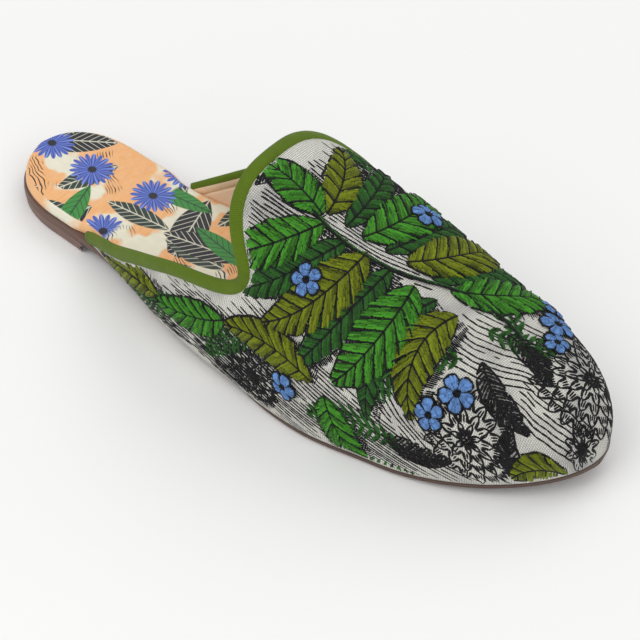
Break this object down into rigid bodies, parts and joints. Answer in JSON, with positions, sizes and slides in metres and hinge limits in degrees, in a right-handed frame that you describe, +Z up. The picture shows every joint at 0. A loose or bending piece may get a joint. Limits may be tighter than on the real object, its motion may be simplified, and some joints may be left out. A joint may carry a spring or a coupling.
{
  "type": "mule",
  "caption": "Backless flat slip-on shoe with a closed almond toe, high rounded tongue, corded topline, embroidered canvas upper, wrapped insole and low heel.",
  "frame": {"origin": "middle of the shoe's box, on the floor that the sole stands on", "axes": "+X from the heel to the toe, +Y towards the inner side of the foot, +Z up"},
  "size_m": [0.2508, 0.088, 0.0807],
  "materials": {
    "sole_leather": "stained and waxed edge",
    "heel_leather": "stained and waxed block",
    "insole_leather": "smooth printed wrap",
    "canvas": "woven ecru canvas with thread embroidery",
    "binding": "ribbed woven binding"
  },
  "bodies": {
    "root": {"outsole": "sole_leather", "heel": "heel_leather", "insole": "insole_leather", "upper": "canvas", "topline_binding": "binding"}
  },
  "joints": []
}
